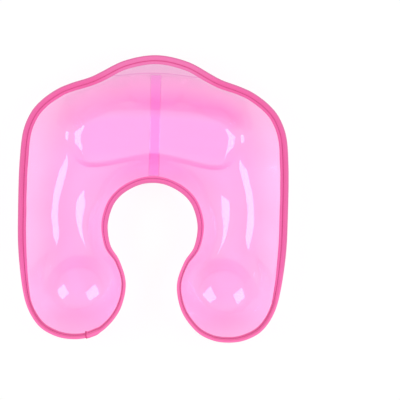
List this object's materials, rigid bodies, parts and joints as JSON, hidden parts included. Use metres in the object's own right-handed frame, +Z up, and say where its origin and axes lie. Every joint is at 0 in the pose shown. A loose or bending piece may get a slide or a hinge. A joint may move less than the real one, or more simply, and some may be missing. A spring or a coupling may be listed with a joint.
{
  "type": "hair dye neck tray",
  "caption": "Soft translucent vinyl horseshoe tray worn round the neck, with a formed trough, a rear pocket, bowl-ended arms and a taped edge.",
  "frame": {"origin": "on the surface that the tray stands on, below the middle of its outline", "axes": "+Y to the back of the tray, where the hump is; +X to its right seen from above; +Z up, out of the trough"},
  "size_m": [0.308, 0.3216, 0.0592],
  "materials": {
    "clear_vinyl": "thin translucent pink soft vinyl, glossy",
    "doubled_vinyl": "translucent pink soft vinyl, glossy",
    "woven_tape": "ribbed woven polyester tape, deep pink",
    "sewing_thread": "twisted polyester sewing thread, deep pink"
  },
  "bodies": {
    "root": {"tray_shell": "clear_vinyl", "centre_strip": "doubled_vinyl", "edge_binding": "woven_tape", "needle_thread": "sewing_thread", "bobbin_thread": "sewing_thread"}
  },
  "joints": []
}
